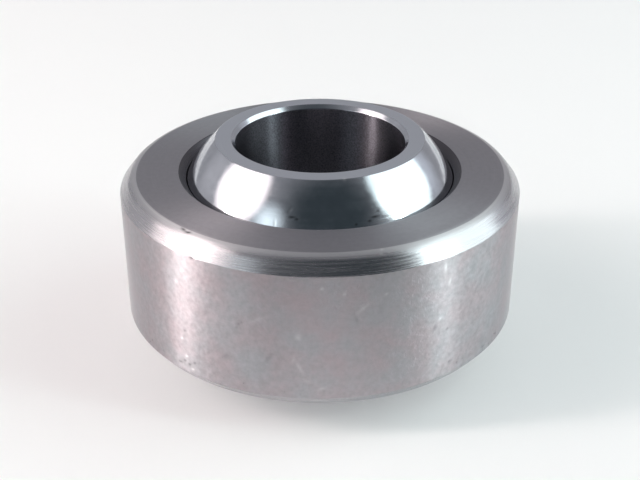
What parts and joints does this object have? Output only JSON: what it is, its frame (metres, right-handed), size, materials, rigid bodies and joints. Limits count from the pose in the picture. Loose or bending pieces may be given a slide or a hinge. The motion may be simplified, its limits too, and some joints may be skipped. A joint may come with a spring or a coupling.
{
  "type": "spherical plain bearing",
  "caption": "Spherical plain bearing: a polished steel ball with a chamfered through bore swivels in the spherical seat of a turned steel outer ring.",
  "frame": {"origin": "centre of the ball, on the axis of the bore, halfway up the outer ring", "axes": "+Z along the bore, +X and +Y across it; the ball tilts about +Y"},
  "size_m": [0.038, 0.038, 0.021],
  "materials": {
    "fine_turned_steel": "satin",
    "polished_steel": "polished"
  },
  "bodies": {
    "outer_ring": {"outer_ring": "fine_turned_steel"},
    "ball": {"ball": "polished_steel"}
  },
  "joints": [
    {"name": "ball_tilt", "type": "hinge", "parent": "outer_ring", "child": "ball", "pos_m": [0, 0, 0], "axis": [0, 1, 0], "range_deg": [-15, 15]}
  ]
}
